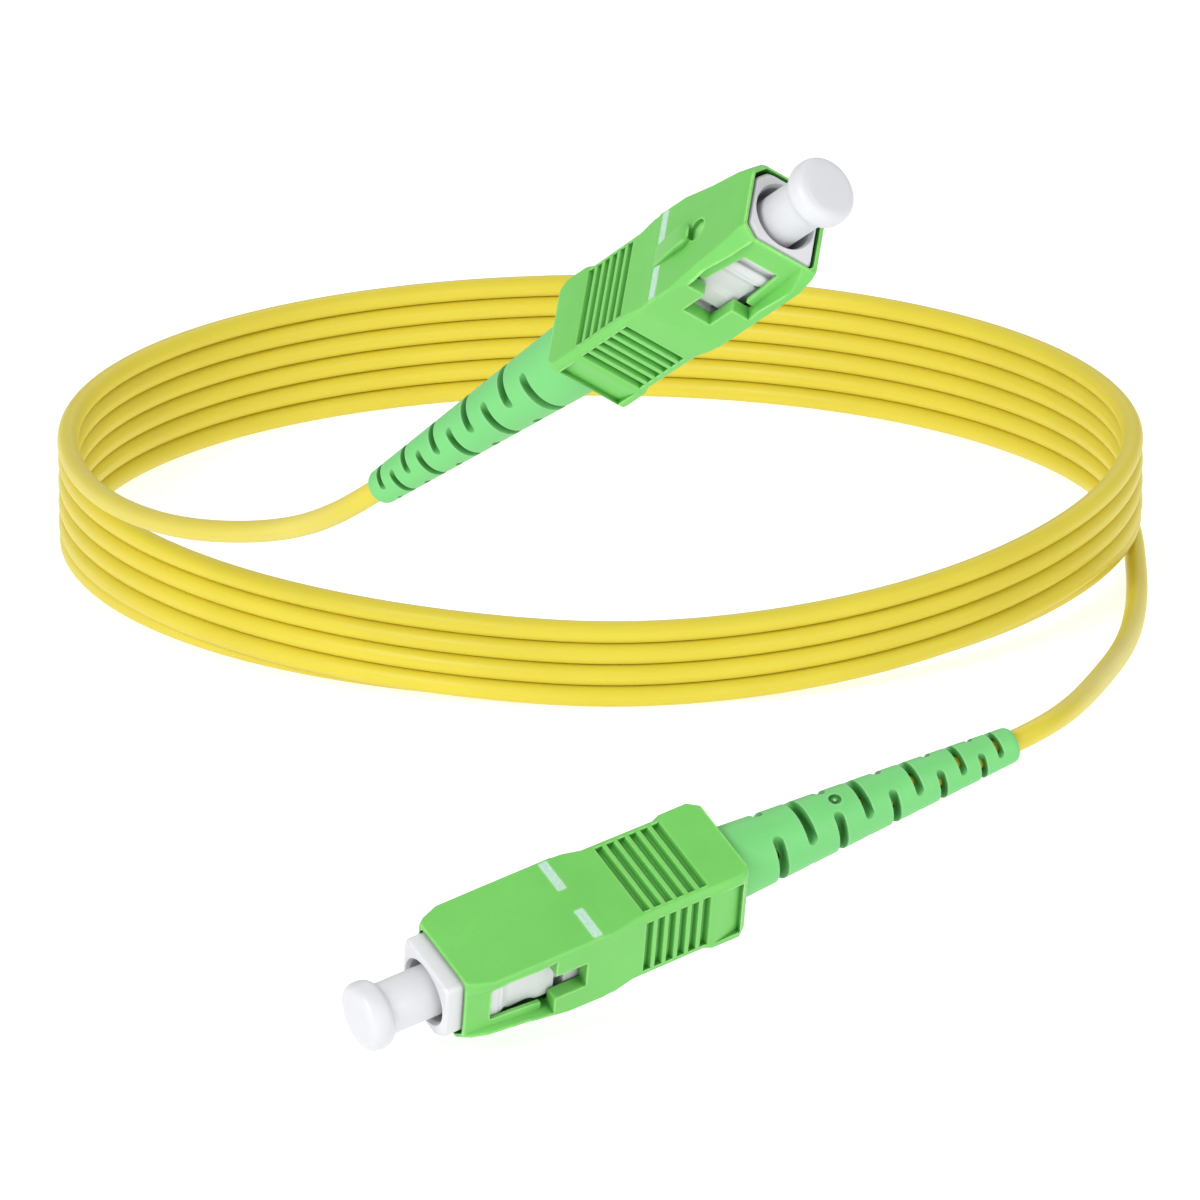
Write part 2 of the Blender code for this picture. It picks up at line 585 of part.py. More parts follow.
def cord_path(axis_a, axis_b):
    """Centreline from inside boot A, round the coil, to inside boot B."""
    tip_a, tip_b = on_axis(axis_a, BOOT_X1), on_axis(axis_b, BOOT_X1)
    start, leave = coil_point(0, 0), from_coil(COIL_LEAVE)
    mid_a, mid_b = from_coil(MID_A), from_coil(MID_B)
    points = [on_axis(axis_a, BOOT_X1 + CORD_IN_BOOT), tip_a]
    points += bezier(tip_a, tip_a + rearward(axis_a) * BOOT_REACH_A,
                     mid_a + MID_A_HANDLE * 0.8, mid_a, 4)
    points += bezier(mid_a, mid_a - MID_A_HANDLE, start + COIL_START_HANDLE, start, 6)
    points += coil_points()
    points.append(leave)
    points += bezier(leave, *map(from_coil, LEAVE_HANDLES), mid_b, 6)
    points += bezier(mid_b, from_coil(MID_B_HANDLE),
                     tip_b + rearward(axis_b) * BOOT_REACH_B, tip_b, 7)
    points.append(on_axis(axis_b, BOOT_X1 + CORD_IN_BOOT))
    return points


# ---------------------------------------------------------------- cord layers
JACKET_END_X = -24.9
# name: outside diameter, wall (None if solid), sides, x of both ends in the connectors
CORD_LAYERS = {
    "cable_jacket": (1.8, 0.30, 6, JACKET_END_X),
    "aramid_layer": (1.0, 0.10, 6, JACKET_END_X - 0.1),
    "buffered_fiber": (0.60, None, 4, -10.9),
}


def build_cord(axis_a, axis_b):
    path = cord_path(axis_a, axis_b)
    for name, (diameter, wall, sides, end_x) in CORD_LAYERS.items():
        points = [on_axis(axis_a, end_x)] + path + [on_axis(axis_b, end_x)]
        ob = sweep(name, points, diameter / 2, sides, caps=wall is None)
        if wall is not None:
            shell = ob.modifiers.new("wall", "SOLIDIFY")
            shell.thickness = wall * MM
            shell.offset = -1.0
            shell.use_even_offset = True
        paint(ob, name)


# ---------------------------------------------------------------- assembly
axes = {tag: make_axis(tag, spec["origin"], spec["forward"], spec["key"])
        for tag, spec in CONNECTORS.items()}
bpy.context.view_layer.update()    # the axes' world matrices are read below

for tag, spec in CONNECTORS.items():
    build_connector(tag, axes[tag], spec["grip_shift"], spec["cap_shift"])
build_cord(axes["a"], axes["b"])

# the grip and plug frame stay flat shaded
for ob in parts.objects:
    if ob.type == "MESH" and not ob.name.startswith(("outer_grip", "plug_frame")):
        ob.data.shade_smooth()
        ob.data.set_sharp_from_angle(angle=math.radians(35))
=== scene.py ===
"""A coiled yellow fibre cord with a green connector, a and b, on each end.

The coil lies flat on the floor with +Z up. Both connectors stand off the floor in front
of it (-Y), where the camera is.

Pieces are modelled in millimetres. Those of a connector are modelled on its own axis:
+X points forward out of the plug, +Z towards the key, x = 0 is the plug frame's front face.
settle() takes each piece to metres and to its place in the row frame.
"""
import math

import bmesh
import bpy
import numpy as np
from mathutils import Matrix, Vector


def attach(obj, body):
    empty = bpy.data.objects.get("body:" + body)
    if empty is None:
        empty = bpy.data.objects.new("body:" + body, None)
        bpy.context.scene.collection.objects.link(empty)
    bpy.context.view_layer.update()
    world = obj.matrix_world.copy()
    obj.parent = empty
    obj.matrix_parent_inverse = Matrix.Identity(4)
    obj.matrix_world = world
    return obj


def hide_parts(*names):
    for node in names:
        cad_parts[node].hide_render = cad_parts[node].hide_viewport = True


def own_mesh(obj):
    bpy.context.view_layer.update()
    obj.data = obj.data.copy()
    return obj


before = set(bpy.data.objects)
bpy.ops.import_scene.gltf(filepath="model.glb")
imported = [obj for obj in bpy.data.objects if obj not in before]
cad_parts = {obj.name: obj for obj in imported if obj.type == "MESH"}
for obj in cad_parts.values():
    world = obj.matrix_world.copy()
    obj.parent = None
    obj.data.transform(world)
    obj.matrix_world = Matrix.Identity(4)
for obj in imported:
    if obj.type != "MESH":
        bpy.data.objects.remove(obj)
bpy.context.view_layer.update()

MM = 0.001
scene = bpy.context.scene

# ---------------------------------------------------------------- main dimensions, mm
ROW_ORIGIN = Vector((0.0, -46.62575, 0.1206))   # the row frame's origin, from the coil's centre

# Connector: origin from the coil's centre, forward direction, rough key direction
CONNECTORS = {
    "a": ((14.23, -110.61, 60.52), (0.5941, -0.5583, 0.5791), (-0.7917, -0.2786, 0.5437)),
    "b": ((-13.553, -134.169, 5.451), (-0.8555, -0.4660, -0.2258), (-0.0532, 0.5127, -0.8569)),
}
GRIP_SHIFT = {"a": 0.0, "b": -1.5}      # slide of the grip along its connector
CAP_SHIFT = {"a": 0.0, "b": 0.4}        # slide of the dust cap

CORD_OD, JACKET_WALL = 1.8, 0.30
YARN_OD, YARN_WALL = 1.0, 0.10
BUFFER_OD = 0.60
JACKET_END_X = -24.9                    # where each layer ends on the connector's axis
YARN_END_X = JACKET_END_X - 0.1
BUFFER_END_X = -10.9

COIL_R, COIL_PITCH, COIL_Z0 = 45.0, 1.82, 0.90
LAPS, LAP_STEPS = 6, 120                # the last lap is a half one

BOOT_TAPER_X, BOOT_TIP_X = -26.2, -53.3
BOOT_R, BOOT_TIP_R = 3.05, 1.42


def from_coil_centre(x, y, z):
    return Vector((x, y, z)) - ROW_ORIGIN


def pose_matrix(origin, forward, key):
    """The connector's frame, in metres; the key direction is squared to the forward one."""
    x = Vector(forward).normalized()
    z = Vector(key)
    z = (z - x * z.dot(x)).normalized()
    pose = Matrix((x, z.cross(x), z)).transposed().to_4x4()
    pose.translation = from_coil_centre(*origin) * MM
    return pose


POSE = {tag: pose_matrix(*place) for tag, place in CONNECTORS.items()}


def on_axis(tag, x):
    """Point of a connector's axis in the row frame, mm."""
    return (POSE[tag] @ Vector((x * MM, 0, 0))) / MM


def forward_of(tag):
    return POSE[tag].to_3x3() @ Vector((1, 0, 0))


# ---------------------------------------------------------------- shader building
MIDDLE = (0.3, 0.7)     # the band that holds most of a noise's values


class Shader:
    """A material under construction; inputs take sockets or values, lengths are in mm."""

    def __init__(self, name):
        self.material = bpy.data.materials.new(name)
        self.material.use_nodes = True
        self.tree = self.material.node_tree
        self.tree.nodes.clear()
        output = self.node("ShaderNodeOutputMaterial")
        self.bsdf = self.node("ShaderNodeBsdfPrincipled")
        self.feed(output.inputs, {"Surface": self.bsdf.outputs[0]})

    def feed(self, sockets, values):
        for key, value in values.items():
            if isinstance(value, bpy.types.NodeSocket):
                self.tree.links.new(value, sockets[key])
            else:
                sockets[key].default_value = value

    def node(self, kind, inputs=None, **settings):
        node = self.tree.nodes.new(kind)
        for key, value in settings.items():
            setattr(node, key, value)
        self.feed(node.inputs, inputs or {})
        return node

    def surface(self, values):
        self.feed(self.bsdf.inputs, values)

    def coords(self, stretch=(1, 1, 1), source="Object"):
        """Object coordinates in mm, or UV: turns round the sweep and metres along it."""
        unit = 1000.0 if source == "Object" else 1.0
        return self.node("ShaderNodeMapping", {
            "Scale": [s * unit for s in stretch],
            "Vector": self.node("ShaderNodeTexCoord").outputs[source]}).outputs[0]

    def noise(self, coords, size, detail=3.0, rough=0.55):
        return self.node("ShaderNodeTexNoise", {
            "Scale": 1.0 / size, "Detail": detail, "Roughness": rough,
            "Vector": coords}).outputs[0]

    def ramp(self, value, span=MIDDLE, to=(0.0, 1.0)):
        """Maps span onto to, clamped."""
        return self.node("ShaderNodeMapRange", {
            "From Min": span[0], "From Max": span[1], "To Min": to[0], "To Max": to[1],
            "Value": value}, clamp=True).outputs[0]

    def math(self, operation, a, b):
        return self.node("ShaderNodeMath", {0: a, 1: b}, operation=operation).outputs[0]

    def add(self, a, b):
        return self.math("ADD", a, b)

    def times(self, a, b):
        return self.math("MULTIPLY", a, b)

    def mix(self, factor, base, colour):
        """base (a socket or a colour) going to colour as factor goes to 1."""
        if isinstance(base, tuple):
            base = (*base, 1.0)
        node = self.node("ShaderNodeMix", data_type="RGBA")
        enabled = {socket.name: socket for socket in node.inputs if socket.enabled}
        self.feed(enabled, {"Factor": factor, "A": base, "B": (*colour, 1.0)})
        return [socket for socket in node.outputs if socket.enabled][0]

    def bump(self, *heights, bevel=0.0):
        """Stacks (height, depth) reliefs over edges rounded by bevel."""
        normal = None
        if bevel:
            normal = self.node("ShaderNodeBevel", {"Radius": bevel * MM}, samples=4).outputs[0]
        for height, depth in heights:
            inputs = {"Strength": 1.0, "Distance": depth * MM, "Height": height}
            if normal is not None:
                inputs["Normal"] = normal
            normal = self.node("ShaderNodeBump", inputs).outputs[0]
        self.surface({"Normal": normal})

    def scatter(self, weight, radius, scale=1.0):
        self.surface({"Subsurface Weight": weight, "Subsurface Radius": radius,
                      "Subsurface Scale": scale * MM})

    def occlusion(self, reach, span, inside):
        node = self.node("ShaderNodeAmbientOcclusion", {"Distance": reach * MM},
                         samples=6, inside=inside)
        return self.ramp(node.outputs["AO"], span)

    def edge_mask(self, reach):
        """1 on the very edges of the piece, 0 on its flats."""
        return self.occlusion(reach, span=(0.88, 0.56), inside=True)

    def crease(self, reach):
        """1 deep in grooves and inside corners, 0 on open faces."""
        return self.occlusion(reach, span=(0.84, 0.30), inside=False)


def shade(colour, factor):
    return tuple(min(1.0, c * factor) for c in colour)


# ---------------------------------------------------------------- materials
def moulded(name, colour, rough, *, grain=0.10, grain_depth=0.004, mottle=0.05, bevel=0.12,
            edge_highlight=0.25, edge_highlight_colour=None, hollow_shade_colour=None, hollow_reach=1.0,
            specular=0.5, scatter=0.0, scatter_radius=(1.0, 1.0, 1.0)):
    """Injection-moulded plastic: eroded grain, flow mottling, scuffed edges, painted edge
    highlights and painted shade in hollows.

    mottle is the tone's relative swing; the edge amount is how far edges go towards their painted
    highlight colour.
    """
    s = Shader(name)
    at = s.coords()
    broad = s.noise(at, size=7.0, detail=2.0)
    fine = s.noise(at, size=0.55, detail=4.0)
    pits = s.noise(at, size=grain, rough=0.6)
    streaks = s.noise(s.coords((0.18, 1.0, 1.0)), size=0.35, detail=4.0, rough=0.7)
    tone = s.mix(s.ramp(broad), shade(colour, 1 - mottle), shade(colour, 1 + mottle))
    tone = s.mix(s.ramp(fine, span=(0.35, 0.75), to=(0.0, 0.35)), tone,
                 shade(colour, 1 - 1.6 * mottle))
    edges = s.edge_mask(reach=0.26)
    if hollow_shade_colour:
        hollow = s.crease(hollow_reach)
        edges = s.times(edges, s.math("SUBTRACT", 1.0, hollow))
    # Painted highlight: the edges, broken up by noise, go pale towards the edge colour; the same
    # mask makes them shinier below
    worn_and_highlit = s.times(edges, s.ramp(fine, span=(0.25, 0.7), to=(0.45, 1.0)))
    pale = tuple(c + (1 - c) * 0.28 for c in colour)
    tone = s.mix(s.times(worn_and_highlit, edge_highlight), tone, edge_highlight_colour or pale)
    scuffs = s.ramp(streaks, span=(0.66, 0.78), to=(0.0, 0.5))
    tone = s.mix(s.times(scuffs, 0.12), tone, pale)
    # Painted shade: grooves and inside corners go dark towards the hollow colour
    if hollow_shade_colour:
        tone = s.mix(hollow, tone, hollow_shade_colour)
    # Scuffs are duller than the rest, worn edges are shinier
    gloss = s.add(s.ramp(broad, to=(rough - 0.04, rough + 0.05)), s.times(scuffs, 0.15))
    s.surface({"Base Color": tone, "Roughness": s.add(gloss, s.times(worn_and_highlit, -0.06)),
               "Specular IOR Level": specular})
    if scatter:
        s.scatter(scatter, scatter_radius)
    s.bump((pits, grain_depth), (scuffs, -0.002), (broad, 0.02), bevel=bevel)
    return s.material


def extruded(name, colour, rough):
    """Cord jacket: draw lines along the cord, faint bands round it, dust in places."""
    s = Shader(name)
    lines = s.noise(s.coords((26.0, 12.0, 1.0), "UV"), size=1.0, rough=0.6)
    bands = s.noise(s.coords((0.0, 160.0, 1.0), "UV"), size=1.0, detail=2.0)
    spots = s.noise(s.coords(), size=0.22, rough=0.7)
    broad = s.noise(s.coords(), size=12.0, detail=2.0)
    red, green, blue = colour
    tone = s.mix(s.ramp(broad), shade(colour, 0.97), shade(colour, 1.03))
    tone = s.mix(s.ramp(lines, span=(0.3, 0.75), to=(0.0, 0.35)), tone,
                 (red * 0.93, green * 0.90, blue * 0.8))
    tone = s.mix(s.ramp(spots, span=(0.70, 0.80), to=(0.0, 0.20)), tone, shade(colour, 0.82))
    s.surface({"Base Color": tone,
               "Roughness": s.add(s.ramp(lines, to=(rough - 0.05, rough + 0.05)),
                                  s.ramp(spots, span=(0.6, 0.8), to=(0.0, 0.12))),
               "Specular IOR Level": 0.32})
    s.scatter(weight=0.08, radius=(1.0, 0.8, 0.2), scale=0.4)
    s.bump((lines, 0.004), (bands, 0.004), (spots, 0.003))
    return s.material


def metal(name, colour, rough, ring_size=0.05):
    """Turned metal: lathe rings across the axis and small handling scratches."""
    s = Shader(name)
    rings = s.noise(s.coords((1.0, 0.06, 0.06)), size=ring_size, rough=0.6)
    scratches = s.noise(s.coords((0.15, 1.0, 1.0)), size=0.10, detail=4.0, rough=0.7)
    broad = s.noise(s.coords(), size=2.2)
    tone = s.mix(s.ramp(broad), shade(colour, 0.88), shade(colour, 1.06))
    tone = s.mix(s.times(s.edge_mask(reach=0.08), 0.4), tone, shade(colour, 1.3))
    s.surface({"Base Color": tone, "Metallic": 1.0,
               "Roughness": s.add(s.ramp(rings, to=(rough - 0.06, rough + 0.08)),
                                  s.ramp(scratches, span=(0.62, 0.8), to=(0.0, 0.15)))})
    s.bump((rings, 0.002), (scratches, 0.001), bevel=0.06)
    return s.material


def yarn(name, colour):
    """Loose straight filaments, laid along the cord."""
    s = Shader(name)
    strands = s.noise(s.coords((60.0, 30.0, 1.0), "UV"), size=1.0, detail=4.0, rough=0.7)
    clumps = s.noise(s.coords((0.1, 1.0, 1.0)), size=0.25, rough=0.6)
    tone = s.mix(s.ramp(strands), shade(colour, 0.7), shade(colour, 1.15))
    tone = s.mix(s.ramp(clumps, span=(0.4, 0.7), to=(0.0, 0.4)), tone, shade(colour, 0.55))
    s.surface({"Base Color": tone, "Roughness": s.ramp(clumps, to=(0.62, 0.85))})
    s.bump((strands, 0.03), (clumps, 0.05))
    return s.material


def ceramic(name):
    """Polished white ceramic with faint grinding rings."""
    s = Shader(name)
    fine = s.noise(s.coords(), size=0.05)
    rings = s.noise(s.coords((1.0, 0.05, 0.05)), size=0.08)
    broad = s.noise(s.coords(), size=1.5, detail=2.0)
    s.surface({"Base Color": s.mix(s.ramp(broad), (0.84, 0.83, 0.78), (0.90, 0.89, 0.85)),
               "Roughness": s.ramp(rings, to=(0.10, 0.20)), "Coat Weight": 0.4})
    s.bump((fine, 0.0005), (rings, 0.0008), bevel=0.05)
    return s.material


def glass(name):
    s = Shader(name)
    ripple = s.noise(s.coords(), size=0.05, detail=2.0)
    s.surface({"Base Color": (0.86, 0.92, 0.95, 1.0), "Transmission Weight": 0.85,
               "Roughness": s.ramp(ripple, to=(0.02, 0.07))})
    s.bump((ripple, 0.0003))
    return s.material


def inlay(name, colour, under):
    """Pad-printed mark: streaky paint, broken by spots of the colour under it."""
    s = Shader(name)
    at = s.coords()
    streaks = s.noise(s.coords((1.4, 0.5, 1.0)), size=0.16, detail=4.0, rough=0.7)
    spots = s.noise(at, size=0.12, rough=0.7)
    tone = s.mix(s.ramp(streaks, span=(0.38, 0.62)), shade(colour, 0.90), shade(colour, 1.10))
    tone = s.mix(s.ramp(spots, span=(0.60, 0.72), to=(0.0, 0.35)), tone, under)
    s.surface({"Base Color": tone, "Roughness": s.ramp(spots, to=(0.45, 0.65))})
    s.bump((streaks, 0.008), (spots, 0.006))
    return s.material


def ground(name):
    """Matt studio paper that glows a little; its noises are sized in metres."""
    s = Shader(name)
    metres = (MM, MM, MM)
    broad = s.noise(s.coords(metres), size=0.4)
    fine = s.noise(s.coords(metres), size=0.004)
    s.surface({"Base Color": s.mix(s.ramp(broad), (0.54, 0.54, 0.543), (0.56, 0.56, 0.56)),
               "Roughness": s.ramp(fine, to=(0.85, 0.95)), "Specular IOR Level": 0.1,
               "Emission Color": (1.0, 1.0, 1.0, 1.0), "Emission Strength": 0.70})
    s.bump((fine, 0.02))
    return s.material


# The edge settings paint a highlight along each piece's edges
MATERIALS = {
    # The hollow colours paint shade into grooves and inside corners
    "grip_plastic": moulded(
        "satin_green", (0.150, 0.530, 0.095), rough=0.40, bevel=0.14, edge_highlight=0.95,
        edge_highlight_colour=(0.34, 0.80, 0.22), hollow_shade_colour=(0.030, 0.225, 0.018),
        hollow_reach=1.05),
    "boot_elastomer": moulded(
        "mint_elastomer", (0.164, 0.570, 0.170), rough=0.52, grain=0.14, grain_depth=0.007,
        mottle=0.04, edge_highlight=0.45, specular=0.4, hollow_shade_colour=(0.03, 0.22, 0.03),
        hollow_reach=1.2),
    "frame_plastic": moulded(
        "white_frame", (0.66, 0.66, 0.68), rough=0.36, mottle=0.015, edge_highlight=0.15,
        scatter=0.10, scatter_radius=(0.6, 0.6, 0.6), hollow_shade_colour=(0.42, 0.44, 0.44),
        hollow_reach=0.8),
    "cap_plastic": moulded(
        "milky_cap", (0.64, 0.643, 0.672), rough=0.40, mottle=0.012, edge_highlight=0.1,
        grain=0.2, grain_depth=0.003, scatter=0.30, scatter_radius=(1.2, 1.2, 1.3)),
    "zirconia": ceramic("white_ceramic"),
    "flange_metal": metal("flange_brass_nickel", (0.74, 0.71, 0.64), rough=0.30),
    "spring_steel": metal("spring_wire", (0.56, 0.57, 0.58), rough=0.28, ring_size=0.08),
    "retainer_metal": metal("retainer_nickel", (0.62, 0.62, 0.62), rough=0.34),
    "crimp_metal": metal("crimp_tin", (0.68, 0.65, 0.58), rough=0.32, ring_size=0.07),
    "aramid": yarn("yarn_gold", (0.78, 0.64, 0.22)),
    "tube_plastic": moulded("clear_tube", (0.82, 0.84, 0.86), rough=0.35, mottle=0.02,
                            edge_highlight=0.1, scatter=0.3),
    "glass_fiber": glass("glass_core"),
    "jacket_yellow": extruded("jacket_yellow", (0.676, 0.568, 0.045), rough=0.42),
    "buffer_white": moulded("buffer_white", (0.83, 0.83, 0.80), rough=0.42, mottle=0.02,
                            edge_highlight=0.0),
}
MARK_MATERIAL = inlay("pale_mark", (0.44, 0.66, 0.53), under=(0.30, 0.68, 0.24))


# ---------------------------------------------------------------- mesh helpers, mm
def add_object(name, data):
    obj = bpy.data.objects.new(name, data)
    scene.collection.objects.link(obj)
    return obj


def new_object(name, bm):
    mesh = bpy.data.meshes.new(name)
    bmesh.ops.recalc_face_normals(bm, faces=bm.faces)
    bm.to_mesh(mesh)
    bm.free()
    return add_object(name, mesh)


def span(side, near, far):
    """The range from near to far on one side (-1 or 1) of zero, in rising order."""
    return sorted((near * side, far * side))


def soften(points, radius, steps=3, closed=True):
    """Rounds every corner of a 2D outline by up to radius, always with steps + 1 points."""
    corners = [Vector((*p, 0)) for p in points]
    out = []
    count = len(corners)
    for i, corner in enumerate(corners):
        if not closed and i in (0, count - 1):
            out.append((corner.x, corner.y))
            continue
        back, ahead = corners[i - 1] - corner, corners[(i + 1) % count] - corner
        reach = min(radius, 0.45 * back.length, 0.45 * ahead.length)
        start = corner + back.normalized() * reach
        end = corner + ahead.normalized() * reach
        for k in range(steps + 1):
            t = k / steps
            q = start * (1 - t) ** 2 + corner * 2 * t * (1 - t) + end * t * t
            out.append((q.x, q.y))
    return out


def join_rings(bm, a, b):
    """Walls between two rings; a ring of one vertex makes a fan."""
    steps = max(len(a), len(b))
    for i in range(steps):
        j = (i + 1) % steps
        if len(a) == 1:
            bm.faces.new((a[0], b[j], b[i]))
        elif len(b) == 1:
            bm.faces.new((a[i], a[j], b[0]))
        else:
            bm.faces.new((a[i], a[j], b[j], b[i]))


def turned(name, profile, soft, closed=True, steps=64):
    """Surface of revolution about X of an (x, radius) outline."""
    bm = bmesh.new()
    rings = []
    for x, r in soften(profile, soft, closed=closed):
        if r < 1e-6:
            rings.append([bm.verts.new((x, 0, 0))])
        else:
            rings.append([bm.verts.new((x, r * math.cos(2 * math.pi * i / steps),
                                        r * math.sin(2 * math.pi * i / steps)))
                          for i in range(steps)])
    for a, b in zip(rings, rings[1:]):
        join_rings(bm, a, b)
    if closed:
        join_rings(bm, rings[-1], rings[0])
    return new_object(name, bm)


def outline(half_width, top, bottom, top_cut, bottom_cut, radius=0.15):
    """(y, z) rectangle with chamfered, then rounded corners."""
    w, low = half_width, -bottom
    return soften([(w - top_cut, top), (w, top - top_cut), (w, low + bottom_cut),
                   (w - bottom_cut, low), (-w + bottom_cut, low), (-w, low + bottom_cut),
                   (-w, top - top_cut), (-w + top_cut, top)], radius)


def add_solid(bm, rings):
    """Walls through rings of equal length, closed at both ends."""
    rings = [[bm.verts.new(co) for co in ring] for ring in rings]
    for a, b in zip(rings, rings[1:]):
        join_rings(bm, a, b)
    bm.faces.new(rings[0])
    bm.faces.new(rings[-1])


def loft(name, sections):
    """Solid along X through (x, [(y, z), ...]) outlines of equal length."""
    bm = bmesh.new()
    add_solid(bm, [[(x, y, z) for y, z in line] for x, line in sections])
    return new_object(name, bm)


PRISM_POINT = {
    "X": lambda p, t: (t, p[0], p[1]),
    "Y": lambda p, t: (p[0], t, p[1]),
    "Z": lambda p, t: (p[0], p[1], t),
}


def add_prism(bm, polygon, axis, low, high):
    """Extrudes a 2D outline: axis Y takes (x, z), Z takes (x, y)."""
    point = PRISM_POINT[axis]
    add_solid(bm, [[point(p, t) for p in polygon] for t in (low, high)])


def prisms(name, parts):
    """One object of (polygon, axis, low, high) prisms."""
    bm = bmesh.new()
    for part in parts:
        add_prism(bm, *part)
    return new_object(name, bm)


def box(x0, x1, y0, y1, z0, z1):
    return [(x0, y0), (x1, y0), (x1, y1), (x0, y1)], "Z", z0, z1


def disc(x, radius, count):
    return [(x + radius * math.cos(2 * math.pi * i / count),
             radius * math.sin(2 * math.pi * i / count)) for i in range(count)]


def shaped(obj, steps=(), sharp=32.0):
    """Runs (operation, tool) booleans on obj and leaves one clean mesh."""
    for operation, tool in steps:
        boolean = obj.modifiers.new(tool.name, "BOOLEAN")
        boolean.operation = operation
        boolean.solver = "EXACT"
        boolean.object = tool
    bpy.context.view_layer.update()
    depsgraph = bpy.context.evaluated_depsgraph_get()
    mesh = bpy.data.meshes.new_from_object(obj.evaluated_get(depsgraph), depsgraph=depsgraph)
    old = obj.data
    obj.modifiers.clear()
    obj.data = mesh
    bpy.data.meshes.remove(old)
    for _, tool in steps:
        bpy.data.objects.remove(tool, do_unlink=True)
    bm = bmesh.new()
    bm.from_mesh(mesh)
    bmesh.ops.remove_doubles(bm, verts=bm.verts, dist=0.002)
    bmesh.ops.dissolve_degenerate(bm, dist=0.001, edges=bm.edges)
    bm.to_mesh(mesh)
    bm.free()
    mesh.shade_smooth()
    mesh.set_sharp_from_angle(angle=math.radians(sharp))
    return obj


def settle(obj, slot, body, replaces=None, tag=None, shift=0.0, material=None, weighted=True):
    """Takes obj to metres and, given a tag, to its connector; it then rides on body."""
    obj.data.transform(Matrix.Diagonal((MM, MM, MM, 1)))
    if tag:
        obj.matrix_world = POSE[tag] @ Matrix.Translation((shift * MM, 0, 0))
    obj.data.materials.clear()
    obj.data.materials.append(material or MATERIALS[slot])
    if weighted:
        shading = obj.modifiers.new("even_shading", "WEIGHTED_NORMAL")
        shading.keep_sharp = True
        shading.weight = 80
    if replaces:
        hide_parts(replaces)
    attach(obj, body)


# ---------------------------------------------------------------- swept pieces
def sweep_rings(path, radii, sides):
    """Rings of each radius along path, on a frame carried along without twist."""
    tangents = np.gradient(path, axis=0)
    tangents /= np.linalg.norm(tangents, axis=1)[:, None]
    first = tangents[0]
    normal = np.cross(first, (0.0, 0.0, 1.0) if abs(first[2]) < 0.9 else (1.0, 0.0, 0.0))
    normal /= np.linalg.norm(normal)
    normals = [normal]
    for tangent in tangents[1:]:
        normal = normals[-1] - tangent * np.dot(normals[-1], tangent)
        normals.append(normal / np.linalg.norm(normal))
    normals = np.array(normals)
    binormals = np.cross(tangents, normals)
    angles = (2 * np.pi * np.arange(sides) / sides)[None, :, None]
    ring = np.cos(angles) * normals[:, None, :] + np.sin(angles) * binormals[:, None, :]
    return np.concatenate([(path[:, None, :] + ring * r).reshape(-1, 3) for r in radii])


def sweep(name, points, radius, sides, inner=None):
    """Round rod, or tube with an inner radius; UV is turns round and metres along."""
    path = np.asarray(points, float)
    radii = [radius, inner] if inner else [radius]
    count = len(path)
    gaps = np.linalg.norm(np.diff(path, axis=0), axis=1)
    along = np.concatenate([[0], np.cumsum(gaps)]) * MM
    faces, uvs = [], []
    for wall in range(len(radii)):
        for i in range(count - 1):
            near = (wall * count + i) * sides
            far = near + sides
            for j in range(sides):
                k = (j + 1) % sides
                quad = [near + j, near + k, far + k, far + j]
                uv = [(j / sides, along[i]), ((j + 1) / sides, along[i]),
                      ((j + 1) / sides, along[i + 1]), (j / sides, along[i + 1])]
                if wall:
                    quad.reverse()
                    uv.reverse()
                faces.append(quad)
                uvs.extend(uv)
    for i in (0, count - 1):
        outer = i * sides
        if inner:
            hole = (count + i) * sides
            for j in range(sides):
                k = (j + 1) % sides
                quad = [outer + j, outer + k, hole + k, hole + j]
                faces.append(quad[::-1] if i == 0 else quad)
                uvs.extend([(j / sides, along[i])] * 4)
        else:
            cap = [outer + j for j in range(sides)]
            faces.append(cap[::-1] if i == 0 else cap)
            uvs.extend([(j / sides, along[i]) for j in range(sides)])
    mesh = bpy.data.meshes.new(name)
    mesh.from_pydata(sweep_rings(path, radii, sides).tolist(), [], faces)
    layer = mesh.uv_layers.new(name="around_along")
    layer.data.foreach_set("uv", np.array(uvs, np.float32).ravel())
    mesh.shade_smooth()
    mesh.set_sharp_from_angle(angle=math.radians(50))
    return add_object(name, mesh)


def bezier(controls, count):
    """count points of a Bezier curve, without its first one."""
    degree = len(controls) - 1
    out = []
    for i in range(1, count + 1):
        t = i / count
        q = Vector((0.0, 0.0, 0.0))
        for k, p in enumerate(controls):
            q += p * (math.comb(degree, k) * t ** k * (1 - t) ** (degree - k))
        out.append(q)
    return out


# ---------------------------------------------------------------- cord
def coil_point(lap, degrees):
    """The coil winds from its top lap down: 0 is left (-X), 90 back (+Y), 270 front."""
    r, z = COIL_R, COIL_Z0 + (LAPS - 1 - lap) * COIL_PITCH
    if degrees > 180:
        t = min((degrees - 180) / 90, 1.0)
        down = t * t * (3 - 2 * t)
        if lap < LAPS - 2:
            # Dips two pitches towards the front, then climbs back one
            up = math.sin(math.radians(max(degrees - 270, 0)))
            z = z - 2 * COIL_PITCH * down + COIL_PITCH * up
        else:
            # The last full lap passes inside the half lap below it
            rise = COIL_PITCH * (1 - down)
            z = COIL_Z0 + rise
            if degrees <= 270:
                r = COIL_R - math.sqrt(max(COIL_PITCH ** 2 - rise ** 2, 0.0))
            else:
                r = COIL_R - COIL_PITCH * math.cos(math.radians(degrees - 270))
    angle = math.radians(degrees)
    return from_coil_centre(-r * math.cos(angle), r * math.sin(angle), z)


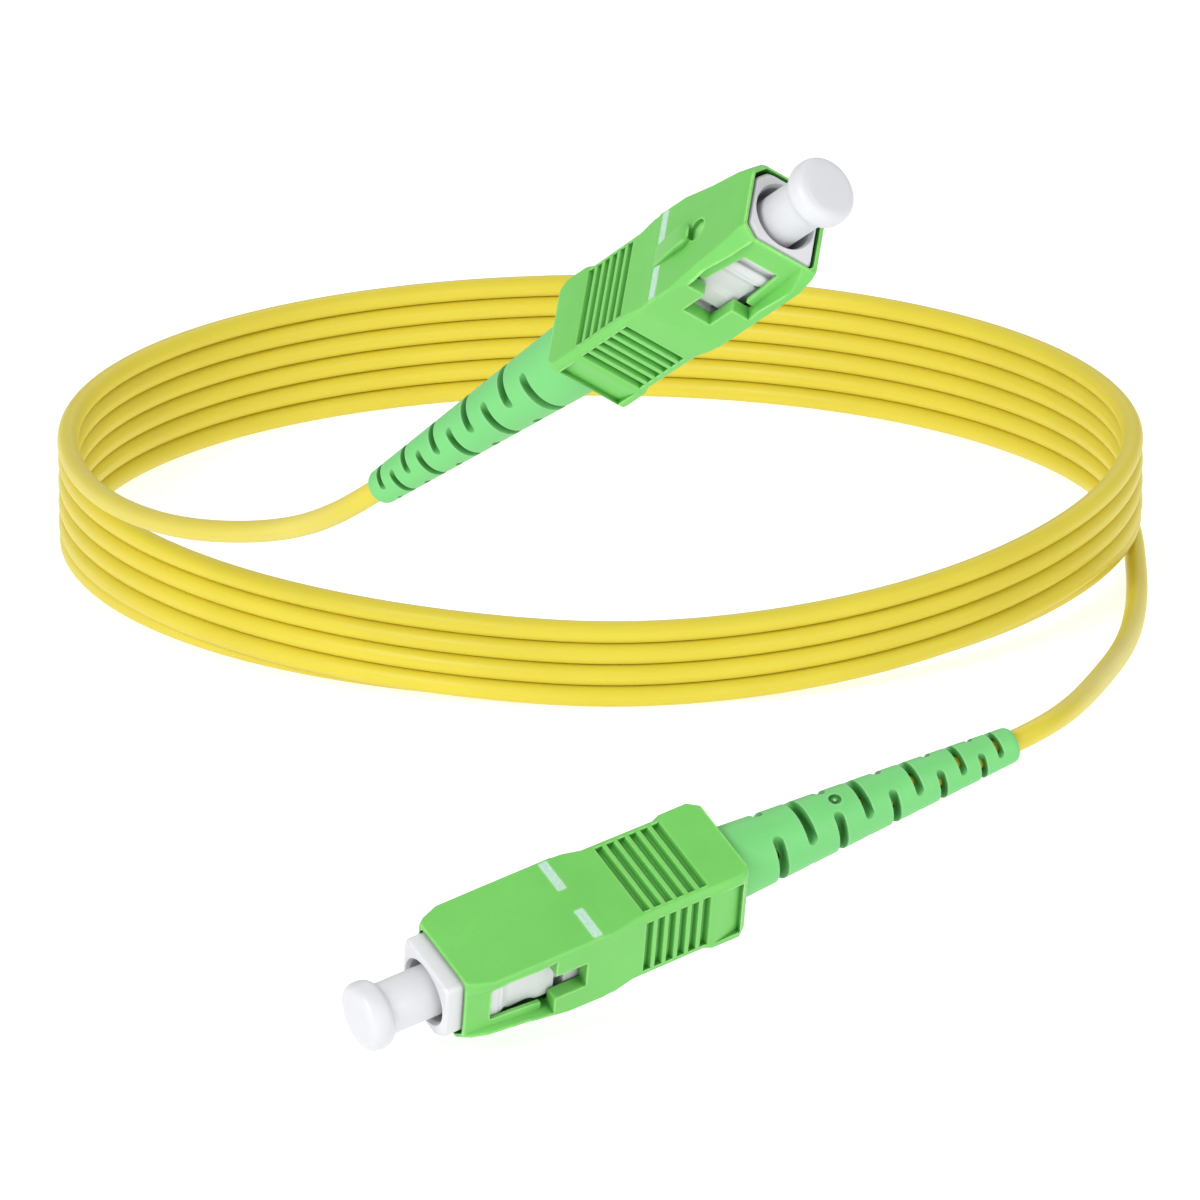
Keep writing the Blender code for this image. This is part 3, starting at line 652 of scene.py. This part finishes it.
def cord_path():
    """Centreline from boot a round the coil to boot b, starting and ending inside the boots."""
    inside_x = BOOT_TIP_X + 8.0
    tip_a, tip_b = on_axis("a", BOOT_TIP_X), on_axis("b", BOOT_TIP_X)
    coil_start = coil_point(0, 0)
    middle = from_coil_centre(-30.6, -52.7, 17.4)
    middle_pull = Vector((7.6, -13.6, 3.95))
    points = [on_axis("a", inside_x), tip_a]
    points += bezier((tip_a, tip_a - forward_of("a") * 7.0, middle + middle_pull * 0.8,
                      middle), 24)
    points += bezier((middle, middle - middle_pull, coil_start + Vector((0.0, -16.0, 0.0)),
                      coil_start), 30)
    for lap in range(LAPS):
        steps = LAP_STEPS // 2 if lap == LAPS - 1 else LAP_STEPS
        points += [coil_point(lap, 360 * i / LAP_STEPS) for i in range(1, steps + 1)]
    leave = from_coil_centre(COIL_R, -8.0, COIL_Z0)
    points.append(leave)
    points += bezier((leave, from_coil_centre(COIL_R, -32.8, COIL_Z0),
                      from_coil_centre(40.93, -60.58, 8.28),
                      from_coil_centre(39.23, -87.07, 16.51),
                      tip_b - forward_of("b") * 7.9, tip_b), 80)
    points.append(on_axis("b", inside_x))
    return points


def cord_layer(end_x, spacing=1.6, spread=2.2, reach=6):
    """Evenly spaced centreline between x = end_x of both connectors, corners eased.

    spread (sigma) and reach of the easing are counted in points.
    """
    raw = np.array([on_axis("a", end_x)] + cord_path() + [on_axis("b", end_x)], float)
    along = np.concatenate([[0], np.cumsum(np.linalg.norm(np.diff(raw, axis=0), axis=1))])
    count = int(along[-1] / spacing)
    even = np.linspace(0, along[-1], count)
    path = np.stack([np.interp(even, along, raw[:, i]) for i in range(3)], axis=1)
    weights = np.exp(-0.5 * (np.arange(-reach, reach + 1) / spread) ** 2)
    weights /= weights.sum()
    # Both ends are run on straight so that easing leaves them in place
    head = path[0] + (path[0] - path[1]) * np.arange(reach, 0, -1)[:, None]
    tail = path[-1] + (path[-1] - path[-2]) * np.arange(1, reach + 1)[:, None]
    full = np.concatenate([head, path, tail])
    return sum(weight * full[i:i + count] for i, weight in enumerate(weights))


# Name, CAD piece, slot, end x, radius, sides, inner radius
CORD_LAYERS = (
    ("cord_jacket", "cable_jacket", "jacket_yellow", JACKET_END_X,
     CORD_OD / 2, 28, CORD_OD / 2 - JACKET_WALL),
    ("cord_yarn", "aramid_layer", "aramid", YARN_END_X,
     YARN_OD / 2, 16, YARN_OD / 2 - YARN_WALL),
    ("cord_buffer", "buffered_fiber", "buffer_white", BUFFER_END_X, BUFFER_OD / 2, 12, None),
)


def build_cord():
    for name, piece, slot, end_x, radius, sides, inner in CORD_LAYERS:
        layer = sweep(name, cord_layer(end_x), radius, sides, inner)
        settle(layer, slot, "root", piece, weighted=False)


# ---------------------------------------------------------------- outer grip
# x, half width, top, bottom, top chamfer, bottom chamfer
GRIP_SECTIONS = (
    (0.0, 3.55, 3.47, 3.64, 0.95, 0.15),
    (-0.55, 3.95, 3.70, 3.70, 1.20, 0.15),
    (-2.0, 4.5, 3.70, 3.70, 1.30, 0.15),
    (-5.5, 4.5, 3.70, 3.70, 0.85, 0.12),
    (-9.0, 4.5, 3.70, 3.70, 0.16, 0.12),
    (-12.25, 4.5, 3.70, 3.70, 0.14, 0.12),
    (-12.40, 4.5, 3.62, 3.62, 0.14, 0.12),
    (-13.2, 4.5, 3.61, 3.61, 0.16, 0.16),
    (-14.9, 4.26, 3.57, 3.57, 0.34, 0.34),
    (-21.3, 4.24, 3.52, 3.52, 0.36, 0.36),
    (-22.0, 4.42, 3.70, 3.70, 0.36, 0.36),
    (-24.4, 4.42, 3.72, 3.72, 0.36, 0.36),
    (-25.2, 3.80, 3.70, 3.70, 0.36, 0.36),
)
# x, half width, top
KEY_SECTIONS = (
    (-7.28, 0.50, 3.90), (-7.42, 0.78, 4.12), (-7.65, 0.95, 4.27), (-8.0, 1.04, 4.32),
    (-9.3, 1.05, 4.20), (-11.2, 1.05, 3.93), (-11.9, 1.0, 3.78), (-12.2, 0.85, 3.6),
)
# x, radius
GRIP_BORE = (
    (-18.5, 0.0), (-18.5, 2.75), (-22.0, 2.75), (-22.1, 3.3), (-24.9, 3.3), (-25.3, 3.5),
    (-26.5, 3.5), (-26.5, 0.0),
)
# Side window: front end, step to its narrow part, rear end
WINDOW_X0, WINDOW_X1, WINDOW_X2 = -2.3, -7.6, -10.4
# Cross grooves at the rear: axis they run along, half length, face, floor
GROOVES = (("Y", 3.62, 3.54, 3.10), ("Z", 2.80, 4.25, 3.80))
GROOVE_COUNT, GROOVE_X0, GROOVE_PITCH = 6, -16.1, 1.02


def grip_windows():
    """Arrow-shaped openings through both side walls."""
    upper = [(WINDOW_X0, 1.62), (WINDOW_X1 + 0.75, 2.02), (WINDOW_X1 + 0.75, 2.85),
             (WINDOW_X1, 2.9), (WINDOW_X1, 1.32), (WINDOW_X2, 1.3)]
    window = soften(upper + [(x, -z) for x, z in reversed(upper)], 0.10, 2)
    return prisms("t_windows", [(window, "Y", *span(side, 2.9, 6.0)) for side in (-1, 1)])


def grip_recess(side):
    """Sloped hollow in a side wall, from the front edge back along the window."""
    # x, floor y, half height at the floor, half height outside
    sections = ((1.0, 3.60, 2.30, 3.30), (-2.3, 3.66, 2.40, 3.30), (WINDOW_X1, 3.72, 2.90, 3.00))
    return loft("t_recess_%d" % side, [
        (x, [(y * side, -inner), (4.9 * side, -outer), (4.9 * side, outer), (y * side, inner)])
        for x, y, inner, outer in sections])


def grip_relief():
    """Sloped cuts on the sides of the rear collar, and the cross grooves before it."""
    parts = []
    for side in (-1, 1):
        parts.append(([(-22.05, 4.44 * side), (-24.45, 3.98 * side), (-24.45, 5.6 * side),
                       (-22.05, 5.6 * side)], "Z", -2.85, 2.85))
        for k in range(GROOVE_COUNT):
            x = GROOVE_X0 - GROOVE_PITCH * k
            for axis, half, face, floor in GROOVES:
                section = ((-0.34, face + 1), (-0.34, face + 0.02), (-0.16, floor),
                           (0.16, floor), (0.34, face + 0.02), (0.34, face + 1))
                parts.append(([(x + dx, h * side) for dx, h in section], axis, -half, half))
    return prisms("t_relief", parts)


def build_grip(tag):
    grip = loft("grip_shell_" + tag, [(x, outline(*size, 0.1)) for x, *size in GRIP_SECTIONS])
    key = [(x, soften([(-w, 3.4), (w, 3.4), (w, top), (-w, top)], 0.24))
           for x, w, top in KEY_SECTIONS]
    room = outline(3.35, 3.3, 3.3, 0.95, 0.32)
    tail = outline(3.35, 2.85, 2.85, 0.4, 0.4)
    shaped(grip, [
        ("UNION", loft("t_key", key)),
        ("DIFFERENCE", loft("t_room", [(1.0, room), (-13.3, room)])),
        ("DIFFERENCE", loft("t_tail", [(-13.0, tail), (-18.9, tail)])),
        ("DIFFERENCE", turned("t_bore", GRIP_BORE, 0.05, closed=False, steps=48)),
        ("DIFFERENCE", grip_windows()),
        ("DIFFERENCE", grip_recess(-1)),
        ("DIFFERENCE", grip_recess(1)),
        ("DIFFERENCE", grip_relief()),
        ("DIFFERENCE", prisms("t_dimple", [(disc(-6.55, 0.95, 32), "Z", 3.39, 3.9)])),
    ])
    settle(grip, "grip_plastic", "grip_" + tag, "outer_grip_" + tag, tag, GRIP_SHIFT[tag])


def build_marks(tag):
    """Four pale bars across the grip's top and bottom, beside the key's line."""
    parts = []
    for face in (-1, 1):
        for side in (-1, 1):
            y0, y1 = span(side, 1.15, 4.22)
            bar = soften([(-11.0, y0), (-11.0, y1), (-11.78, y1), (-11.78, y0)], 0.06)
            parts.append((bar, "Z", *span(face, 3.60, 3.722)))
    marks = shaped(prisms("grip_marks_" + tag, parts))
    settle(marks, "grip_plastic", "grip_" + tag, tag=tag, shift=GRIP_SHIFT[tag],
           material=MARK_MATERIAL)


# ---------------------------------------------------------------- plug frame
# x, half width, top, bottom, top chamfer, bottom chamfer, rounding
FRAME_SECTIONS = (
    (0.0, 3.02, 2.94, 2.94, 1.05, 0.28, 0.32),
    (-0.25, 3.2, 3.1, 3.1, 1.05, 0.25, 0.32),
    (-12.6, 3.2, 3.1, 3.1, 1.05, 0.25, 0.32),
    (-12.9, 3.2, 2.65, 2.65, 0.6, 0.6, 0.3),
    (-17.0, 3.2, 2.65, 2.65, 0.6, 0.6, 0.3),
)
# x, height: the edge left on the frame's flanks
FLANK_EDGE = (
    (-3.15, 2.1), (-3.8, 2.1), (-3.9, 2.38), (-4.95, 2.38), (-5.1, 1.65), (-5.5, 1.65),
    (-5.8, 2.05), (-7.8, 1.88), (-8.4, 2.15), (-9.3, 2.25), (-9.7, 1.9), (-9.8, 1.2),
    (-10.6, 1.2),
)
# x, half width: the hollow in each flank
SCOOP = ((-5.05, 3.6), (-5.05, 3.22), (-5.7, 2.94), (-7.4, 2.94), (-8.3, 3.22), (-8.3, 3.6))
# (x, half width) outline, rounding, low z, high z
RIBS = (
    (((-2.30, 2.8), (-2.40, 3.29), (-2.98, 3.29), (-3.12, 2.8)), 0.12, -2.0, 2.0),
    (((-3.82, 2.8), (-3.92, 3.28), (-4.80, 3.28), (-4.98, 2.8)), 0.16, -2.02, 2.3),
)
# x, radius
FRAME_BORE = (
    (1.0, 0.0), (1.0, 2.95), (0.0, 2.78), (-0.35, 2.6), (-5.3, 2.6), (-5.3, 1.5),
    (-5.8, 1.5), (-5.8, 2.3), (-18.0, 2.3), (-18.0, 0.0),
)


def build_frame(tag):
    frame = loft("plug_body_" + tag, [(x, outline(*size)) for x, *size in FRAME_SECTIONS])
    flanks, scoops, ribs, slits = [], [], [], []
    for side in (-1, 1):
        for face in (-1, 1):
            line = soften([(x, h * face) for x, h in FLANK_EDGE], 0.14, closed=False)
            line += [(-10.6, 3.6 * face), (-3.15, 3.6 * face)]
            flanks.append((line, "Y", *span(side, 2.3, 4.2)))
        scoops += [
            (soften([(x, y * side) for x, y in SCOOP], 0.2), "Z", -2.6, 2.6),
            box(-3.8, -3.1, *span(side, 2.90, 4.2), -2.3, 2.3),
            box(-10.6, -9.7, *span(side, 2.72, 4.2), -1.9, 1.9),
        ]
        for line, radius, z0, z1 in RIBS:
            ribs.append((soften([(x, y * side) for x, y in line], radius), "Z", z0, z1))
        slits.append(box(-18.0, -14.6, *span(side, 1.9, 4.2), -0.9, 0.9))
    shaped(frame, [
        ("DIFFERENCE", prisms("t_flanks", flanks)),
        ("DIFFERENCE", prisms("t_scoops", scoops)),
        ("UNION", prisms("t_ribs", ribs)),
        ("DIFFERENCE", turned("t_bore", FRAME_BORE, 0.05, closed=False)),
        ("DIFFERENCE", prisms("t_slits", slits)),
    ])
    settle(frame, "frame_plastic", "root", "plug_frame_" + tag, tag)


# ---------------------------------------------------------------- strain relief boot
SLOT_COUNT, SLOT_X0 = 10, -30.8
SLOT_STEP, SLOT_STEP_LOSS = 2.90, 0.15      # each gap to the next slot is shorter
SLOT_W0, SLOT_W1 = 0.90, 0.55               # widths of the first and last slots
SLOT_ARC_STEPS = 8
DIMPLE_X = -36.9


def boot_radius(x):
    t = min(max((BOOT_TAPER_X - x) / (BOOT_TAPER_X - BOOT_TIP_X), 0.0), 1.0)
    return BOOT_R + (BOOT_TIP_R - BOOT_R) * t


# x, radius
BOOT_PROFILE = (
    (-24.1, 2.9), (-24.4, BOOT_R), (BOOT_TAPER_X, BOOT_R), (-53.0, boot_radius(-53.0)),
    (BOOT_TIP_X, 1.24), (BOOT_TIP_X, 1.06), (-52.9, 0.97), (-33.5, 1.15), (-28.6, 1.65),
    (-27.6, 2.4), (-24.1, 2.45),
)


def boot_slots():
    """Pairs of round-bottomed slots, each pair a quarter turn from the last."""
    parts = []
    x, step = SLOT_X0, SLOT_STEP
    for k in range(SLOT_COUNT):
        half = (SLOT_W0 + (SLOT_W1 - SLOT_W0) * k / (SLOT_COUNT - 1)) / 2
        r = boot_radius(x)
        floor, far = 0.42 * r, r + 1.0
        for side in (-1, 1):
            line = [(x - half, far * side)]
            for i in range(SLOT_ARC_STEPS + 1):
                angle = math.pi * i / SLOT_ARC_STEPS
                line.append((x - half * math.cos(angle),
                             (floor + half - half * math.sin(angle)) * side))
            line.append((x + half, far * side))
            parts.append((line, "Z" if k % 2 == 0 else "Y", -far, far))
        x -= step
        step -= SLOT_STEP_LOSS
    return prisms("t_slots", parts)


def build_boot(tag):
    boot = turned("boot_sleeve_" + tag, BOOT_PROFILE, 0.12, steps=96)
    steps = [("DIFFERENCE", boot_slots())]
    # A round dimple on the underside, with a pip in its middle
    r = boot_radius(DIMPLE_X)
    for operation, radius, z0, z1 in (("DIFFERENCE", 0.52, -r - 1.0, 0.34 - r),
                                      ("UNION", 0.16, 0.14 - r, 0.5 - r)):
        tool = prisms("t_gate_" + operation.lower(), [(disc(DIMPLE_X, radius, 24), "Z", z0, z1)])
        steps.append((operation, tool))
    shaped(boot, steps, sharp=40.0)
    settle(boot, "boot_elastomer", "root", "strain_relief_boot_" + tag, tag)


# ---------------------------------------------------------------- turned pieces and spring
# x, radius
CAP_PROFILE = (
    (5.6, 0.0), (5.6, 2.0), (5.48, 2.45), (5.22, 2.70), (4.8, 2.80), (4.3, 2.80),
    (3.85, 2.68), (3.55, 2.42), (3.40, 2.16), (3.0, 2.08), (-2.7, 2.08), (-3.0, 1.9),
    (-3.0, 1.45), (-2.8, 1.32), (3.0, 1.32), (3.0, 0.0),
)
FERRULE_PROFILE = ((2.0, 1.02), (1.5, 1.25), (-8.5, 1.25), (-8.7, 1.13), (-8.7, 0.14),
                   (2.0, 0.14))
FERRULE_FACE_X, FERRULE_FACE_ANGLE = 1.8, 8.0
FIBER_PROFILE = ((1.6, 0.0), (1.6, 0.0625), (-8.6, 0.0625), (-8.6, 0.0))
# Name, CAD piece, body, slot, (x, radius) profile; the tag fills the braces
TURNED_PIECES = (
    ("flange_body_", "ferrule_flange_", "ferrule_core_{}", "flange_metal", (
        (-5.95, 1.9), (-6.2, 2.15), (-9.7, 2.15), (-9.7, 1.22), (-12.5, 1.22),
        (-12.5, 0.58), (-8.85, 0.58), (-8.85, 1.29), (-5.95, 1.29))),
    ("tube_body_", "guide_tube_", "ferrule_core_{}", "tube_plastic", (
        (-9.4, 0.52), (-20.5, 0.52), (-20.5, 0.38), (-9.4, 0.38))),
    ("retainer_body_", "spring_retainer_", "root", "retainer_metal", (
        (-15.85, 2.15), (-17.15, 2.15), (-17.15, 2.5), (-18.3, 2.5), (-18.3, 1.65),
        (-18.8, 1.65), (-19.1, 1.58), (-19.6, 1.58), (-19.9, 1.65), (-20.6, 1.65),
        (-20.9, 1.58), (-21.4, 1.58), (-21.7, 1.65), (-23.5, 1.65), (-23.5, 0.8),
        (-15.85, 0.8))),
    ("yarn_skirt_", "aramid_skirt_", "root", "aramid", (
        (-18.9, 1.93), (-23.6, 1.93), (-24.6, 0.66), (-24.6, 0.44), (-23.75, 1.5),
        (-23.75, 1.72), (-18.9, 1.72))),
    ("crimp_tube_", "crimp_sleeve_", "root", "crimp_metal", (
        (-18.7, 2.22), (-24.0, 2.22), (-24.9, 1.32), (-28.2, 1.32), (-28.2, 1.02),
        (-25.0, 1.02), (-24.1, 2.02), (-18.7, 2.02))),
)
SPRING_X0, SPRING_LENGTH = -10.1, 5.5
SPRING_R, SPRING_WIRE_R = 1.68, 0.2
SPRING_TURNS, SPRING_STEPS = 6.0, 240
END_TURNS, END_PITCH = 0.8, 0.42            # the closely wound turns at each end


def build_cap(tag):
    cap = shaped(turned("cap_body_" + tag, CAP_PROFILE, 0.14, closed=False, steps=96), sharp=30.0)
    settle(cap, "cap_plastic", "cap_" + tag, "dust_cap_" + tag, tag, CAP_SHIFT[tag])


def build_ferrule(tag):
    """Ceramic rod with a bore and a slanted front face."""
    ferrule = turned("ceramic_rod_" + tag, FERRULE_PROFILE, 0.03, steps=96)
    bm = bmesh.new()
    add_prism(bm, *box(0.0, 4.0, -3.0, 3.0, -3.0, 3.0))
    bmesh.ops.rotate(bm, verts=bm.verts, cent=(0, 0, 0),
                     matrix=Matrix.Rotation(math.radians(FERRULE_FACE_ANGLE), 3, "Y"))
    bmesh.ops.translate(bm, verts=bm.verts, vec=(FERRULE_FACE_X, 0, 0))
    shaped(ferrule, [("DIFFERENCE", new_object("t_grind", bm))], sharp=30.0)
    settle(ferrule, "zirconia", "ferrule_core_" + tag, "ferrule_" + tag, tag)


def build_turned_pieces(tag):
    for name, piece, body, slot, profile in TURNED_PIECES:
        obj = shaped(turned(name + tag, profile, 0.05), sharp=30.0)
        settle(obj, slot, body.format(tag), piece + tag, tag)


def build_fiber(tag):
    fiber = shaped(turned("glass_core_" + tag, FIBER_PROFILE, 0.005, closed=False, steps=16))
    settle(fiber, "glass_fiber", "ferrule_core_" + tag, "fiber_end_" + tag, tag)


def spring_rise(lap):
    """Distance along the spring's axis after lap turns."""
    end = END_TURNS * END_PITCH
    if lap < END_TURNS:
        return lap * END_PITCH
    if lap < SPRING_TURNS - END_TURNS:
        return (end + (lap - END_TURNS) * (SPRING_LENGTH - 2 * end)
                / (SPRING_TURNS - 2 * END_TURNS))
    return SPRING_LENGTH - (SPRING_TURNS - lap) * END_PITCH


def build_spring(tag):
    points = []
    for i in range(SPRING_STEPS + 1):
        lap = SPRING_TURNS * (i / SPRING_STEPS)
        angle = 2 * math.pi * lap
        points.append((SPRING_X0 - spring_rise(lap),
                       SPRING_R * math.cos(angle), SPRING_R * math.sin(angle)))
    spring = sweep("spring_coil_" + tag, points, SPRING_WIRE_R, 12)
    settle(spring, "spring_steel", "root", "spring_" + tag, tag, weighted=False)
    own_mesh(spring)


# ---------------------------------------------------------------- studio, metres
LIGHT_TARGET = Vector((0, 0.0, 0.02))
# Name, location, diameter, power in watts
LIGHTS = (
    ("key_light", (-0.78, -1.02, 0.66), 0.6, 10.8),
    ("fill_light", (0.75, -1.1, 0.30), 0.6, 2.9),
    ("side_light", (1.25, -0.45, 0.50), 0.6, 2.6),
    ("back_light", (0.1, 0.9, 0.9), 0.7, 2.0),
)
FLOOR_HALF, FLOOR_Z = 6.0, -0.00014
WORLD_STRENGTH = 0.58
CAMERA_FROM_COIL = Vector((-0.00004, -1.3370, 0.4104))
CAMERA_DOWN = 17.25                         # degrees below level, looking along +Y
CAMERA_LENS, CAMERA_SENSOR = 496.4, 36.0    # mm


def build_floor():
    bm = bmesh.new()
    bmesh.ops.create_grid(bm, x_segments=1, y_segments=1, size=FLOOR_HALF)
    floor = new_object("studio_floor", bm)
    floor.location = (0.0, 0.0, FLOOR_Z)
    floor.data.materials.append(ground("studio_paper"))


def build_world():
    world = bpy.data.worlds.new("studio_air")
    scene.world = world
    world.use_nodes = True
    background = world.node_tree.nodes["Background"]
    background.inputs["Color"].default_value = (1.0, 1.0, 1.0, 1.0)
    background.inputs["Strength"].default_value = WORLD_STRENGTH


def build_lights():
    for name, location, diameter, power in LIGHTS:
        lamp = bpy.data.lights.new(name, "AREA")
        lamp.shape = "DISK"
        lamp.size = diameter
        lamp.energy = power
        light = add_object(name, lamp)
        light.location = location
        aim = LIGHT_TARGET - Vector(location)
        light.rotation_euler = aim.to_track_quat("-Z", "Y").to_euler()


def build_camera():
    data = bpy.data.cameras.new("camera")
    data.lens = CAMERA_LENS
    data.sensor_width = CAMERA_SENSOR
    data.clip_start = 0.05
    data.clip_end = 50.0
    camera = add_object("camera", data)
    camera.location = CAMERA_FROM_COIL - ROW_ORIGIN * MM
    camera.rotation_euler = (math.radians(90.0 - CAMERA_DOWN), 0.0, 0.0)
    scene.camera = camera
    scene.view_settings.view_transform = "Standard"
    scene.view_settings.look = "None"


# ---------------------------------------------------------------- build
build_cord()
for tag in CONNECTORS:
    build_grip(tag)
    build_marks(tag)
    build_frame(tag)
    build_boot(tag)
    build_cap(tag)
    build_ferrule(tag)
    build_turned_pieces(tag)
    build_fiber(tag)
    build_spring(tag)
build_floor()
build_world()
build_lights()
build_camera()
